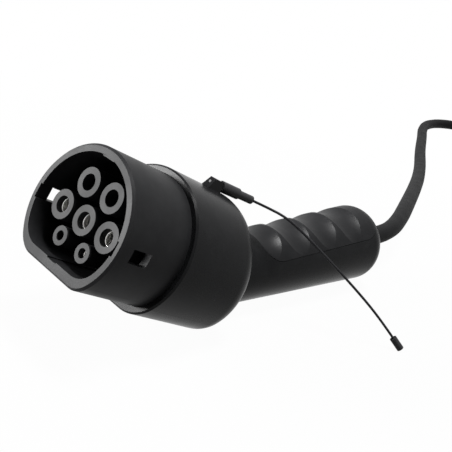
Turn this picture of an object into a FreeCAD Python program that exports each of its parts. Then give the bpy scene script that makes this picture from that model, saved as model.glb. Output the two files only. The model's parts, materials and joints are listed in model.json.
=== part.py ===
import FreeCAD, Part
import math
import os

import Sketcher

# A hand-held connector for charging an electric car, with its cable and the wire tether of its cap.
# It lies at rest on its back: the flat of the nose faces down and the cap tether's lug faces up.
# Connector frame: x points out of the mouth from the rim, z points to the flat, y is to the right of both.
# Handle frame: x runs down the handle, z points to the finger side. Both are carried to the row's frame
# at the end, where z is up, y runs from the mouth to the cable and the floor is z = 0.

SIZES = {
    "nose_room": 4.95,
    "flat_room": 4.02,
    "nose_corner": 12.0,
    "nose_wall": 3.6,
    "nose_flat_wall": 4.7,
    "nose_spare": 4.0,
    "rim_chamfer": 1.0,
    "window_length": 10.0,
    "window_height": 6.0,
    "window_setback": 6.5,
    "window_rise": 0.3,
    "guide_width": 6.4,
    "guide_depth": 0.8,
    "key_width": 7.6,
    "key_height": 0.8,
    "slot_width": 6.5,
    "slot_depth": 0.5,
    "sleeve_setback": 5.0,
    "sleeve_wall": 2.8,
    "sleeve_bore": 7.3,
    "pilot_wall": 2.05,
    "pilot_bore": 4.3,
    "row_pitch": 16.0,
    "low_pitch": 16.3,
    "low_drop": 13.8,
    "pilot_pitch": 16.28,
    "pilot_rise": 10.98,
    "floor_depth": 28.0,
    "carrier_thick": 8.0,
    "contact_setback": 8.0,
    "pilot_contact_setback": 8.0,
    "proximity_setback": 12.0,
    "pin_bore": 6.1,
    "pilot_pin_bore": 3.1,
    "pin_depth": 24.0,
    "shoulder_rim": 1.15,
    "pilot_shoulder_rim": 0.95,
    "shoulder_thick": 2.0,
    "barrel_width": 6.4,
    "pilot_barrel_width": 3.8,
    "barrel_length": 16.0,
    "retainer_thick": 4.0,
    "fit_gap": 0.1,
    "screw_shank": 2.9,
    "screw_head": 5.4,
    "screw_head_thick": 2.2,
    "screw_sink": 0.3,
    "screw_grip": 6.0,
    "upper_screw_shift": 1.5,
    "lower_screw_shift": 3.0,
    "seal_thick": 2.0,
    "head_start": 35.4,
    "head_wall": 3.0,
    "head_flat_wall": 4.5,
    "head_corner": 20.0,
    "head_rear_wall": 11.6,
    "head_rear_lean": 8.6,
    "head_rear_fillet": 13.0,
    "head_chamfer": 0.8,
    "cavity_length": 18.0,
    "nose_screw_setback": 13.6,
    "nose_screw_y": 11.0,
    "nose_screw_length": 7.6,
    "lug_setback": 22.1,
    "lug_rise_run": 4.0,
    "lug_length": 10.0,
    "lug_width": 5.4,
    "lug_top_width": 3.6,
    "lug_rise": 4.9,
    "lug_root": 3.0,
    "lug_slope": 0.6,
    "ferrule_clear": 0.1,
    "tether_width": 1.3,
    "ferrule_setback": 1.2,
    "ferrule_width": 5.4,
    "ferrule_length": 11.0,
    "ferrule_tail_width": 4.1,
    "ferrule_tail_length": 9.4,
    "ferrule_lift": 2.4,
    "ferrule_swing": 10.8,
    "handle_root_gap": 12.0,
    "handle_drop": 23.6,
    "handle_radius": 17.78,
    "handle_flare": 2.13,
    "handle_length": 113.0,
    "handle_end_round": 11.0,
    "spigot_step": 2.88,
    "spigot_stand": 0.4,
    "spigot_wall": 2.4,
    "handle_wall": 2.43,
    "end_wall": 15.0,
    "cable_hole_gap": 0.75,
    "grip_start": 14.6,
    "grip_end_gap": 5.0,
    "grip_seam": 8.0,
    "grip_seam_rise": 2.4,
    "grip_corner": 13.0,
    "grip_thick": 3.0,
    "grip_gap": 0.25,
    "groove_count": 4,
    "groove_setback": 4.2,
    "groove_pitch": 21.3,
    "groove_depth": 2.0,
    "groove_chord": 20.4,
    "groove_offset": 5.0,
    "cable_width": 11.0,
    "jacket_spare": 10.0,
    "boot_flange_rim": 3.5,
    "boot_flange_thick": 2.5,
    "boot_length": 11.0,
    "boot_end_wall": 0.4,
    "clamp_setback": 22.0,
    "clamp_length": 13.0,
    "clamp_split": 0.6,
    "clamp_screw_room": 1.0,
    "clamp_screw_length": 15.0,
    "wire_width": 3.4,
    "pilot_wire_width": 1.8,
    "wire_spread": 2.9,
    "resistor_width": 2.4,
    "resistor_length": 6.5,
    "resistor_body_length": 4.0,
    "lead_width": 0.6,
    "sleeve_width": 3.6,
    "sleeve_length": 7.0,
    "coil_columns": 5,
    "coil_layers": 2,
    "coil_ratio": 12.0,
    "coil_lift": 1.6,
    "coil_edge": 4.0,
    "coil_notch_gap": 0.3,
    "tie_width": 20.0,
    "tie_thick": 1.4,
    "plug_radius": 14.0,
    "plug_length": 50.0,
    "plug_rib_count": 8,
    "plug_rib_depth": 1.2,
    "plug_rib_width": 3.0,
    "plug_rib_inset": 9.0,
    "plug_edge": 2.0,
    "plug_nose_step": 2.5,
    "plug_nose_length": 13.0,
    "plug_nose_wall": 1.8,
    "plug_insert_setback": 9.0,
    "plug_pin_width": 2.4,
    "plug_pin_circle": 5.6,
    "plug_pin_length": 7.0,
    "plug_boot_length": 26.0,
    "plug_boot_step": 5.0,
}

# Sizes that follow from those above: what fits in, on or round another piece.
FORMULAS = {
    "sleeve_outer": "Sizes.sleeve_bore + 2 * Sizes.sleeve_wall",
    "pilot_outer": "Sizes.pilot_bore + 2 * Sizes.pilot_wall",
    "nose_radius": "Sizes.row_pitch + Derived.sleeve_outer / 2 + Sizes.nose_room + Sizes.nose_wall",
    "nose_flat": "Sizes.pilot_rise + Derived.pilot_outer / 2 + Sizes.flat_room + Sizes.nose_flat_wall",
    "shoulder_width": "Sizes.sleeve_bore + 2 * Sizes.shoulder_rim",
    "pilot_shoulder_width": "Sizes.pilot_bore + 2 * Sizes.pilot_shoulder_rim",
    "barrel_end": "Sizes.floor_depth + Sizes.carrier_thick + Sizes.barrel_length",
    "nose_depth": "Derived.barrel_end + Sizes.nose_spare",
    "upper_screw_y": "Sizes.row_pitch + Sizes.upper_screw_shift",
    "lower_screw_y": "Sizes.row_pitch + Sizes.lower_screw_shift",
    "head_radius": "Derived.nose_radius + Sizes.head_wall",
    "head_flat": "Derived.nose_flat + Sizes.head_flat_wall",
    "cavity_end": "Derived.nose_depth + Sizes.seal_thick + Sizes.cavity_length",
    "head_rear": "Derived.cavity_end + Sizes.head_rear_wall",
    "nose_screw_x": "Sizes.head_start + Sizes.nose_screw_setback",
    "lug_front": "Sizes.head_start + Sizes.lug_setback",
    "lug_peak": "Derived.lug_front + Sizes.lug_rise_run",
    "lug_rear": "Derived.lug_front + Sizes.lug_length",
    "tether_height": "Derived.head_radius + Sizes.ferrule_width / 2 + Sizes.ferrule_clear",
    "handle_root": "Derived.head_rear + Sizes.handle_root_gap",
    "spigot_reach": "Sizes.handle_root_gap + Sizes.head_rear_wall + Sizes.spigot_stand",
    "spigot_radius": "Sizes.handle_radius - Sizes.spigot_step",
    "bore_front": "Derived.spigot_radius - Sizes.spigot_wall",
    "bore_end": "Sizes.handle_length - Sizes.end_wall",
    "grip_end": "Sizes.handle_length - Sizes.grip_end_gap",
    "groove_first": "Sizes.grip_start + Sizes.groove_setback",
    "boot_reach": "Sizes.handle_length + Sizes.boot_length",
    "clamp_start": "Derived.bore_end - Sizes.clamp_setback",
    "cable_tail_start": "Derived.clamp_start - Sizes.jacket_spare",
    "boot_flange_radius": "Sizes.cable_width / 2 + Sizes.boot_flange_rim",
    "clamp_screw_y": "Sizes.cable_width / 2 + Sizes.screw_head / 2 + Sizes.clamp_screw_room",
    "coil_middle": "Sizes.coil_ratio * Sizes.cable_width",
    "plug_nose_radius": "Sizes.plug_radius - Sizes.plug_nose_step",
    "plug_boot_width": "2 * (Sizes.plug_radius - Sizes.plug_boot_step)",
}

doc = FreeCAD.newDocument("ConnectorWithCable")
sheet = doc.addObject("Spreadsheet::Sheet", "Sizes")
for row, (alias, number) in enumerate(SIZES.items(), start=1):
    sheet.set("A%d" % row, alias)
    sheet.set("B%d" % row, str(number))
    sheet.setAlias("B%d" % row, alias)
derived = doc.addObject("Spreadsheet::Sheet", "Derived")
for row, alias in enumerate(FORMULAS, start=1):
    derived.set("A%d" % row, alias)
    derived.setAlias("B%d" % row, alias)
for row, formula in enumerate(FORMULAS.values(), start=1):
    derived.set("B%d" % row, "=" + formula)
doc.recompute()


class Values:
    """The cells of both sheets, read by alias."""

    def __getattr__(self, alias):
        return float(getattr(derived if alias in FORMULAS else sheet, alias))


size = Values()
finished = []

X_AXIS = FreeCAD.Vector(1, 0, 0)
Y_AXIS = FreeCAD.Vector(0, 1, 0)
Z_AXIS = FreeCAD.Vector(0, 0, 1)
ALONG_X = FreeCAD.Rotation(Y_AXIS, 90)
UPRIGHT = FreeCAD.Rotation()


def vector(x, y, z):
    return FreeCAD.Vector(x, y, z)


def bind(item, **texts):
    """Ties each named property of item to an expression on the sheet."""
    for name, text in texts.items():
        item.setExpression(name.replace("__", "."), text)
    return item


def solid(kind, name, base, rotation=UPRIGHT, **texts):
    """A Part primitive at base, three expressions, with its sizes tied to the sheet."""
    item = doc.addObject(kind, name)
    item.Placement = FreeCAD.Placement(vector(0, 0, 0), rotation)
    for axis, text in zip("xyz", base):
        item.setExpression("Placement.Base." + axis, text)
    return bind(item, **texts)


def rod(name, radius, rear, length, y="0", z="0"):
    """A cylinder along x that starts at x = rear."""
    return solid("Part::Cylinder", name, (rear, y, z), ALONG_X, Radius=radius, Height=length)


def block(name, base, length, width, height, rotation=UPRIGHT):
    return solid("Part::Box", name, base, rotation, Length=length, Width=width, Height=height)


def fuse(name, *items):
    item = doc.addObject("Part::MultiFuse", name)
    item.Shapes = list(items)
    return item


def cut(name, base, *tools):
    item = doc.addObject("Part::Cut", name)
    item.Base = base
    item.Tool = tools[0] if len(tools) == 1 else fuse(name + "_tools", *tools)
    return item


def common(name, *items):
    item = doc.addObject("Part::MultiCommon", name)
    item.Shapes = list(items)
    return item


def fillet(name, base, edge_numbers, radius):
    item = doc.addObject("Part::Fillet", name)
    item.Base = base
    item.Edges = [(number, radius, radius) for number in edge_numbers]
    return item


def feature(name, shape):
    item = doc.addObject("Part::Feature", name)
    item.Shape = shape
    return item


def finish(item, label, frame):
    """Gives a sub-part its label and the name of the frame that it was drawn in."""
    item.Label = label
    finished.append((item, label, frame))
    return item


def plane(body, role):
    for item in body.Origin.OriginFeatures:
        if item.Role == role:
            return item


def outline(body, name, at="0"):
    """A sketch across the x axis: its own x is y, and its own y is z."""
    sketch = body.newObject("Sketcher::SketchObject", name)
    sketch.AttachmentSupport = [(plane(body, "YZ_Plane"), "")]
    sketch.MapMode = "FlatFace"
    sketch.setExpression("AttachmentOffset.Base.z", at)
    return sketch


def bound(sketch, constraint, name, text):
    number = sketch.addConstraint(constraint)
    sketch.renameConstraint(number, name)
    sketch.setExpression("Constraints." + name, text)


def flatted_circle(sketch, radius, flat, corner, guess):
    """A circle with one flat, whose two corners are rounded. guess is near the three sizes."""
    r, f, c = guess
    rise = f - c
    reach = math.sqrt((r - c) ** 2 - rise ** 2)
    start = math.atan2(rise, reach)
    circle = Part.Circle(vector(0, 0, 0), Z_AXIS, r)
    right = Part.Circle(vector(reach, rise, 0), Z_AXIS, c)
    left = Part.Circle(vector(-reach, rise, 0), Z_AXIS, c)
    sketch.addGeometry(Part.ArcOfCircle(circle, math.pi - start, 2 * math.pi + start), False)
    sketch.addGeometry(Part.ArcOfCircle(right, start, math.pi / 2), False)
    sketch.addGeometry(Part.LineSegment(vector(reach, f, 0), vector(-reach, f, 0)), False)
    sketch.addGeometry(Part.ArcOfCircle(left, math.pi / 2, math.pi - start), False)
    sketch.addConstraint(Sketcher.Constraint("Coincident", 0, 3, -1, 1))
    sketch.addConstraint(Sketcher.Constraint("Tangent", 0, 2, 1, 1))
    sketch.addConstraint(Sketcher.Constraint("Tangent", 1, 2, 2, 1))
    sketch.addConstraint(Sketcher.Constraint("Tangent", 2, 2, 3, 1))
    sketch.addConstraint(Sketcher.Constraint("Tangent", 3, 2, 0, 1))
    sketch.addConstraint(Sketcher.Constraint("Horizontal", 2))
    sketch.addConstraint(Sketcher.Constraint("Equal", 1, 3))
    bound(sketch, Sketcher.Constraint("Radius", 0, r), "radius", radius)
    bound(sketch, Sketcher.Constraint("DistanceY", -1, 1, 2, 1, f), "flat", flat)
    bound(sketch, Sketcher.Constraint("Radius", 1, c), "corner", corner)


def circles(sketch, spots):
    """One circle for each spot: a name, the expressions of its y, z and radius, and numbers near them."""
    for index, (name, texts, guess) in enumerate(spots):
        y, z, r = guess
        sketch.addGeometry(Part.Circle(vector(y, z, 0), Z_AXIS, r), False)
        bound(sketch, Sketcher.Constraint("Radius", index, r), name + "_radius", texts[2])
        bound(sketch, Sketcher.Constraint("DistanceX", -1, 1, index, 3, y), name + "_y", texts[0])
        bound(sketch, Sketcher.Constraint("DistanceY", -1, 1, index, 3, z), name + "_z", texts[1])


def pad(body, name, sketch, length):
    """Adds the sketch's outline over length towards the rear."""
    item = body.newObject("PartDesign::Pad", name)
    item.Profile = sketch
    item.Reversed = True
    sketch.Visibility = False
    return bind(item, Length=length)


def pocket(body, name, sketch, length):
    """Takes the sketch's outline away over length towards the rear."""
    item = body.newObject("PartDesign::Pocket", name)
    item.Profile = sketch
    sketch.Visibility = False
    return bind(item, Length=length)


def flatted_body(name, radius, flat, corner, guess, front, length):
    """A body that is one flatted circle, from x = front towards the rear."""
    body = doc.addObject("PartDesign::Body", name)
    sketch = outline(body, name + "_outline", front)
    flatted_circle(sketch, radius, flat, corner, guess)
    pad(body, name + "_pad", sketch, length)
    return body


def edges_where(shape, test):
    return [number for number, edge in enumerate(shape.Edges, start=1) if test(edge)]


def at_x(edge, x):
    return all(abs(vertex.X - x) < 1e-4 for vertex in edge.Vertexes)


# The sleeves: a name, the expressions of its y and z, and whether it is one of the two thin ones.
SPOTS = {
    "neutral": ("Sizes.row_pitch", "0", False),
    "earth": ("0", "0", False),
    "line": ("-Sizes.row_pitch", "0", False),
    "spare_right": ("Sizes.low_pitch / 2", "-Sizes.low_drop", False),
    "spare_left": ("-Sizes.low_pitch / 2", "-Sizes.low_drop", False),
    "proximity": ("Sizes.pilot_pitch / 2", "Sizes.pilot_rise", True),
    "pilot": ("-Sizes.pilot_pitch / 2", "Sizes.pilot_rise", True),
}
SPOT_NUMBERS = {
    "neutral": (size.row_pitch, 0.0),
    "earth": (0.0, 0.0),
    "line": (-size.row_pitch, 0.0),
    "spare_right": (size.low_pitch / 2, -size.low_drop),
    "spare_left": (-size.low_pitch / 2, -size.low_drop),
    "proximity": (size.pilot_pitch / 2, size.pilot_rise),
    "pilot": (-size.pilot_pitch / 2, size.pilot_rise),
}
SCREW_SPOTS = {
    "upper_right": ("Derived.upper_screw_y", "Sizes.pilot_rise"),
    "upper_left": ("-Derived.upper_screw_y", "Sizes.pilot_rise"),
    "lower_right": ("Derived.lower_screw_y", "-Sizes.low_drop"),
    "lower_left": ("-Derived.lower_screw_y", "-Sizes.low_drop"),
}


# Nose: the outer tube with its flat, the lock windows on both sides, their guide grooves and the key rib.
nose = flatted_body(
    "nose_form", "Derived.nose_radius", "Derived.nose_flat", "Sizes.nose_corner",
    (size.nose_radius, size.nose_flat, size.nose_corner), "0", "Derived.nose_depth",
)
mouth = outline(nose, "mouth_outline")
flatted_circle(
    mouth,
    "Derived.nose_radius - Sizes.nose_wall",
    "Derived.nose_flat - Sizes.nose_flat_wall",
    "Sizes.nose_corner",
    (size.nose_radius - size.nose_wall, size.nose_flat - size.nose_flat_wall, size.nose_corner),
)
pocket(nose, "mouth_pocket", mouth, "Derived.nose_depth")
doc.recompute()


def on_outer_rim(edge):
    centre = edge.valueAt((edge.FirstParameter + edge.LastParameter) / 2)
    beyond_wall = math.hypot(centre.y, centre.z) > size.nose_radius - size.nose_wall / 2
    beyond_flat = centre.z > size.nose_flat - size.nose_flat_wall / 2
    return at_x(edge, 0) and (beyond_wall or beyond_flat)


rim_edges = ["Edge%d" % number for number in edges_where(nose.Shape, on_outer_rim)]
plain_nose = nose.Tip
outer_chamfer = nose.newObject("PartDesign::Chamfer", "outer_chamfer")
outer_chamfer.Base = (plain_nose, rim_edges)
bind(outer_chamfer, Size="Sizes.rim_chamfer")
doc.recompute()

WINDOW_REAR = "-Sizes.window_setback - Sizes.window_length"
WINDOW_FLOOR = "Sizes.window_rise - Sizes.window_height / 2"
windows = block(
    "windows", (WINDOW_REAR, "-Derived.nose_radius - 1", WINDOW_FLOOR),
    "Sizes.window_length", "2 * Derived.nose_radius + 2", "Sizes.window_height",
)
GUIDE_SPAN = "2 * (Derived.nose_radius - Sizes.nose_wall + Sizes.guide_depth)"
guides = block(
    "guides",
    ("-Sizes.window_setback", "-(%s) / 2" % GUIDE_SPAN, "Sizes.window_rise - Sizes.guide_width / 2"),
    "Sizes.window_setback + 1", GUIDE_SPAN, "Sizes.guide_width",
)
key_slot = block(
    "key_slot",
    ("-Sizes.floor_depth", "-Sizes.slot_width / 2", "0"),
    "Sizes.floor_depth + 1", "Sizes.slot_width",
    "Derived.nose_flat - Sizes.nose_flat_wall + Sizes.slot_depth",
)
key_rib = block(
    "key_rib",
    ("-Sizes.floor_depth", "-Sizes.key_width / 2", "-Derived.nose_radius + 1"),
    "Sizes.floor_depth - 1", "Sizes.key_width", "Sizes.nose_wall - 1 + Sizes.key_height",
)
nose_cut = cut("nose_cut", nose, windows, guides, key_slot)
nose_screw_holes = [
    solid(
        "Part::Cylinder", "nose_screw_hole_%d" % side,
        ("-Derived.nose_screw_x", "%d * Sizes.nose_screw_y" % side, "Derived.head_flat - Sizes.nose_screw_length"),
        Radius="Sizes.screw_shank / 2", Height="Sizes.nose_screw_length",
    )
    for side in (-1, 1)
]
nose_whole = fuse("nose_whole", nose_cut, key_rib)
finish(cut("nose_shell", nose_whole, *nose_screw_holes), "nose_shroud", "connector")

# Contact carrier: a plate across the nose, with a sleeve for each contact.
carrier = flatted_body(
    "carrier_form",
    "Derived.nose_radius - Sizes.nose_wall - Sizes.fit_gap",
    "Derived.nose_flat - Sizes.nose_flat_wall - Sizes.fit_gap",
    "Sizes.nose_corner",
    (size.nose_radius - size.nose_wall, size.nose_flat - size.nose_flat_wall, size.nose_corner),
    "-Sizes.floor_depth", "Sizes.carrier_thick",
)


def spot_circles(thin_radius, wide_radius, thin_guess, wide_guess):
    return [
        (name, (y, z, thin_radius if thin else wide_radius),
         (*SPOT_NUMBERS[name], thin_guess if thin else wide_guess))
        for name, (y, z, thin) in SPOTS.items()
    ]


sleeves = outline(carrier, "sleeve_outlines", "-Sizes.sleeve_setback")
circles(
    sleeves,
    spot_circles("Derived.pilot_outer / 2", "Derived.sleeve_outer / 2", size.pilot_outer / 2, size.sleeve_outer / 2),
)
pad(carrier, "sleeves", sleeves, "Sizes.floor_depth - Sizes.sleeve_setback + Sizes.fit_gap")
bores = outline(carrier, "bore_outlines", "-Sizes.sleeve_setback")
circles(
    bores,
    spot_circles("Sizes.pilot_bore / 2", "Sizes.sleeve_bore / 2", size.pilot_bore / 2, size.sleeve_bore / 2),
)
pocket(carrier, "bores", bores, "Sizes.floor_depth + Sizes.carrier_thick")
pilot_holes = outline(carrier, "pilot_hole_outlines", "-Sizes.floor_depth - Sizes.carrier_thick + Sizes.screw_grip")
circles(
    pilot_holes,
    [
        (name, (y, z, "Sizes.screw_shank / 2"),
         (math.copysign(size.upper_screw_y if "upper" in name else size.lower_screw_y, 1 if "right" in name else -1),
          size.pilot_rise if "upper" in name else -size.low_drop, size.screw_shank / 2))
        for name, (y, z) in SCREW_SPOTS.items()
    ],
)
pocket(carrier, "pilot_holes", pilot_holes, "Sizes.screw_grip")
finish(carrier, "contact_carrier", "connector")

# Contacts: turned sockets whose shoulders are held between the carrier and the retainer.
CARRIER_REAR = "Sizes.floor_depth + Sizes.carrier_thick"


def contact(name, setback):
    y, z, thin = SPOTS[name]
    tag = name + "_"
    bore = "Sizes.pilot_bore" if thin else "Sizes.sleeve_bore"
    pin = "Sizes.pilot_pin_bore" if thin else "Sizes.pin_bore"
    shoulder = "Derived.pilot_shoulder_width" if thin else "Derived.shoulder_width"
    barrel = "Sizes.pilot_barrel_width" if thin else "Sizes.barrel_width"
    tube = rod(
        tag + "tube", "%s / 2 - Sizes.fit_gap / 2" % bore, "-(%s)" % CARRIER_REAR,
        "%s - %s" % (CARRIER_REAR, setback), y, z,
    )
    collar = rod(
        tag + "collar", "%s / 2" % shoulder, "-(%s) - Sizes.shoulder_thick" % CARRIER_REAR,
        "Sizes.shoulder_thick", y, z,
    )
    tail = rod(
        tag + "tail", "%s / 2" % barrel, "-Derived.barrel_end",
        "Derived.barrel_end - (%s)" % CARRIER_REAR, y, z,
    )
    socket = rod(tag + "socket", "%s / 2" % pin, "-(%s) - Sizes.pin_depth" % setback, "Sizes.pin_depth + 1", y, z)
    body = fuse(tag + "body", tube, collar, tail)
    finish(cut(tag + "turned", body, socket), tag + "contact", "connector")


contact("earth", "Sizes.contact_setback")
contact("neutral", "Sizes.contact_setback")
contact("line", "Sizes.contact_setback")
contact("pilot", "Sizes.pilot_contact_setback")
contact("proximity", "Sizes.proximity_setback")

# Retainer: a plate screwed to the back of the carrier.
RETAINER_REAR = "-(%s) - Sizes.retainer_thick" % CARRIER_REAR
retainer = flatted_body(
    "retainer_form",
    "Derived.nose_radius - Sizes.nose_wall - Sizes.fit_gap",
    "Derived.nose_flat - Sizes.nose_flat_wall - Sizes.fit_gap",
    "Sizes.nose_corner",
    (size.nose_radius - size.nose_wall, size.nose_flat - size.nose_flat_wall, size.nose_corner),
    "-(%s)" % CARRIER_REAR, "Sizes.retainer_thick",
)
seats = []
for name, (y, z, thin) in SPOTS.items():
    if name.startswith("spare"):
        continue
    shoulder = "Derived.pilot_shoulder_width" if thin else "Derived.shoulder_width"
    barrel = "Sizes.pilot_barrel_width" if thin else "Sizes.barrel_width"
    seats.append(
        rod(name + "_seat", "%s / 2 + Sizes.fit_gap" % shoulder, "-(%s) - Sizes.shoulder_thick" % CARRIER_REAR,
            "Sizes.shoulder_thick", y, z)
    )
    seats.append(
        rod(name + "_way", "%s / 2 + Sizes.fit_gap" % barrel, RETAINER_REAR, "Sizes.retainer_thick", y, z)
    )
for name, (y, z) in SCREW_SPOTS.items():
    seats.append(
        rod(name + "_way", "Sizes.screw_shank / 2 + Sizes.fit_gap", RETAINER_REAR, "Sizes.retainer_thick", y, z)
    )
finish(cut("retainer_plate", retainer, *seats), "contact_retainer", "connector")

screws = []
for name, (y, z) in SCREW_SPOTS.items():
    shank = rod(
        name + "_shank", "Sizes.screw_shank / 2", RETAINER_REAR,
        "Sizes.retainer_thick + Sizes.screw_grip", y, z,
    )
    head = rod(
        name + "_head", "Sizes.screw_head / 2", RETAINER_REAR + " - Sizes.screw_head_thick",
        "Sizes.screw_head_thick", y, z,
    )
    screws.append(fuse(name + "_screw", shank, head))
screw_group = doc.addObject("Part::Compound", "retainer_screw_group")
screw_group.Links = screws
finish(screw_group, "retainer_screws", "connector")

# Seal: a ring in the nose's own outline, pressed between the nose and the step in the head.
seal = flatted_body(
    "seal_form", "Derived.nose_radius", "Derived.nose_flat", "Sizes.nose_corner",
    (size.nose_radius, size.nose_flat, size.nose_corner), "-Derived.nose_depth", "Sizes.seal_thick",
)
seal_hole = outline(seal, "seal_hole", "-Derived.nose_depth")
flatted_circle(
    seal_hole,
    "Derived.nose_radius - Sizes.nose_wall",
    "Derived.nose_flat - Sizes.nose_flat_wall",
    "Sizes.nose_corner",
    (size.nose_radius - size.nose_wall, size.nose_flat - size.nose_flat_wall, size.nose_corner),
)
pocket(seal, "seal_pocket", seal_hole, "Sizes.seal_thick")
finish(seal, "nose_seal", "connector")

# Head: the collar round the nose, its leaning back wall, and the lug for the cap's tether.
LEAN_SPARE = 12.0
BEHIND = 2 * size.head_radius
head_form = flatted_body(
    "head_form", "Derived.head_radius", "Derived.head_flat", "Sizes.head_corner",
    (size.head_radius, size.head_flat, size.head_corner),
    "-Sizes.head_start", "Derived.head_rear + %s - Sizes.head_start" % LEAN_SPARE,
)
REAR_LEAN = FreeCAD.Rotation(Y_AXIS, -size.head_rear_lean)
behind = doc.addObject("Part::Box", "behind_head")
behind.Placement = FreeCAD.Placement(
    vector(-size.head_rear, 0, 0) + REAR_LEAN.multVec(vector(-BEHIND, -BEHIND, -BEHIND)), REAR_LEAN
)
bind(behind, Length=str(BEHIND), Width=str(2 * BEHIND), Height=str(2 * BEHIND))
head_block = cut("head_block", head_form, behind)
doc.recompute()


def on_rear_wall(edge):
    normal = REAR_LEAN.multVec(X_AXIS)
    spots = [vertex.Point for vertex in edge.Vertexes]
    return all(abs((spot - vector(-size.head_rear, 0, 0)).dot(normal)) < 1e-3 for spot in spots)


rounded_head = fillet(
    "rounded_head", head_block, edges_where(head_block.Shape, on_rear_wall), size.head_rear_fillet
)
doc.recompute()
front_edges = edges_where(rounded_head.Shape, lambda edge: at_x(edge, -size.head_start))
head_outer = doc.addObject("Part::Chamfer", "head_outer")
head_outer.Base = rounded_head
head_outer.Edges = [(number, size.head_chamfer, size.head_chamfer) for number in front_edges]

head_bore = flatted_body(
    "head_bore", "Derived.nose_radius + Sizes.fit_gap", "Derived.nose_flat + Sizes.fit_gap", "Sizes.nose_corner",
    (size.nose_radius, size.nose_flat, size.nose_corner),
    "-Sizes.head_start + 1", "Derived.nose_depth + Sizes.seal_thick - Sizes.head_start + 1",
)
head_cavity = flatted_body(
    "head_cavity", "Derived.nose_radius - Sizes.nose_wall", "Derived.nose_flat - Sizes.nose_flat_wall",
    "Sizes.nose_corner",
    (size.nose_radius - size.nose_wall, size.nose_flat - size.nose_flat_wall, size.nose_corner),
    "-Derived.nose_depth", "Derived.cavity_end - Derived.nose_depth",
)

# The handle's frame seen from the connector's.
HANDLE = FreeCAD.Placement(
    vector(-size.handle_root, 0, 0),
    FreeCAD.Rotation(
        vector(-math.cos(math.radians(size.handle_drop)), 0, -math.sin(math.radians(size.handle_drop))),
        Y_AXIS,
        vector(math.sin(math.radians(size.handle_drop)), 0, -math.cos(math.radians(size.handle_drop))),
        "XYZ",
    ),
)


def along_handle(name, radius, start, length):
    """A cylinder down the handle, placed in the connector's frame."""
    item = doc.addObject("Part::Cylinder", name)
    item.Placement = HANDLE * FreeCAD.Placement(vector(start, 0, 0), ALONG_X)
    return bind(item, Radius=radius, Height=length)


spigot_hole = along_handle(
    "spigot_hole", "Derived.spigot_radius + Sizes.fit_gap", -size.spigot_reach - 3, "Derived.spigot_reach + 3"
)
LUG_TURN = FreeCAD.Rotation(X_AXIS, -90)
lug = doc.addObject("Part::Wedge", "lug_form")
lug.Placement = FreeCAD.Placement(vector(0, 0, size.lug_root - size.head_radius), LUG_TURN)
bind(
    lug,
    Xmin="-Derived.lug_rear - Sizes.lug_slope", Xmax="-Derived.lug_front",
    X2min="-Derived.lug_rear", X2max="-Derived.lug_peak",
    Ymin="0", Ymax="Sizes.lug_rise + Sizes.lug_root",
    Zmin="-Sizes.lug_width / 2", Zmax="Sizes.lug_width / 2",
    Z2min="-Sizes.lug_top_width / 2", Z2max="Sizes.lug_top_width / 2",
)
lug_hole = rod(
    "lug_hole", "Sizes.tether_width / 2 + Sizes.fit_gap", "-Derived.lug_rear - 2",
    "Derived.lug_rear - Derived.lug_front + 2", "0", "-Derived.tether_height",
)


def flat_side_hole(name, side, x, y, length):
    """A screw's hole from the flat side: its shank, and a sunk seat for its head."""
    spot = ("-" + x, "%d * %s" % (side, y))
    shank = solid(
        "Part::Cylinder", name + "_shank_hole", (*spot, "Derived.head_flat - %s" % length),
        Radius="Sizes.screw_shank / 2", Height=length,
    )
    seat = solid(
        "Part::Cylinder", name + "_head_seat", (*spot, "Derived.head_flat - Sizes.screw_head_thick"),
        Radius="Sizes.screw_head / 2 + Sizes.fit_gap", Height="Sizes.screw_head_thick + 2",
    )
    return shank, seat


def flat_side_screws(group, x, y, length):
    pair = []
    for side in (-1, 1):
        name = "%s_%d" % (group, side)
        spot = ("-" + x, "%d * %s" % (side, y))
        shank = solid(
            "Part::Cylinder", name + "_shank", (*spot, "Derived.head_flat - %s" % length),
            Radius="Sizes.screw_shank / 2", Height="%s - Sizes.screw_head_thick" % length,
        )
        head = solid(
            "Part::Cylinder", name + "_head", (*spot, "Derived.head_flat - Sizes.screw_head_thick"),
            Radius="Sizes.screw_head / 2", Height="Sizes.screw_head_thick - Sizes.screw_sink",
        )
        pair.append(fuse(name, shank, head))
    compound = doc.addObject("Part::Compound", group + "_group")
    compound.Links = pair
    finish(compound, group, "connector")


NOSE_SCREW = ("Derived.nose_screw_x", "Sizes.nose_screw_y", "Sizes.nose_screw_length")
head_screw_holes = [
    tool for side in (-1, 1) for tool in flat_side_hole("nose_screw_%d" % side, side, *NOSE_SCREW)
]
head_solid = fuse("head_solid", head_outer, lug)
head = cut("head", head_solid, head_bore, head_cavity, spigot_hole, lug_hole, *head_screw_holes)
finish(head, "head_housing", "connector")
flat_side_screws("nose_screws", *NOSE_SCREW)

# Handle: a tapered tube with a rounded end, hollowed by a taper, and cut to fit the head's back.
FLARE = math.tan(math.radians(size.handle_flare))
CONE_START = -size.spigot_reach
FROM_HANDLE = HANDLE.inverse()


def handle_radius(s):
    return size.handle_radius + FLARE * s


def skin_radius(s):
    """The floor under the grip cover."""
    return handle_radius(s) - size.grip_thick


def bore_radius(s):
    """The hollow's radius: it widens from the spigot to the far end."""
    share = (s + size.spigot_reach) / (size.bore_end + size.spigot_reach)
    bore_rear = skin_radius(size.bore_end) - size.handle_wall
    return size.bore_front + (bore_rear - size.bore_front) * share


def handle_cone(name, start, end, radius_at, change=0.0):
    item = doc.addObject("Part::Cone", name)
    item.Placement = HANDLE * FreeCAD.Placement(vector(start, 0, 0), ALONG_X)
    item.Radius1 = radius_at(start) + change
    item.Radius2 = radius_at(end) + change
    item.Height = end - start
    return item


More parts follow.
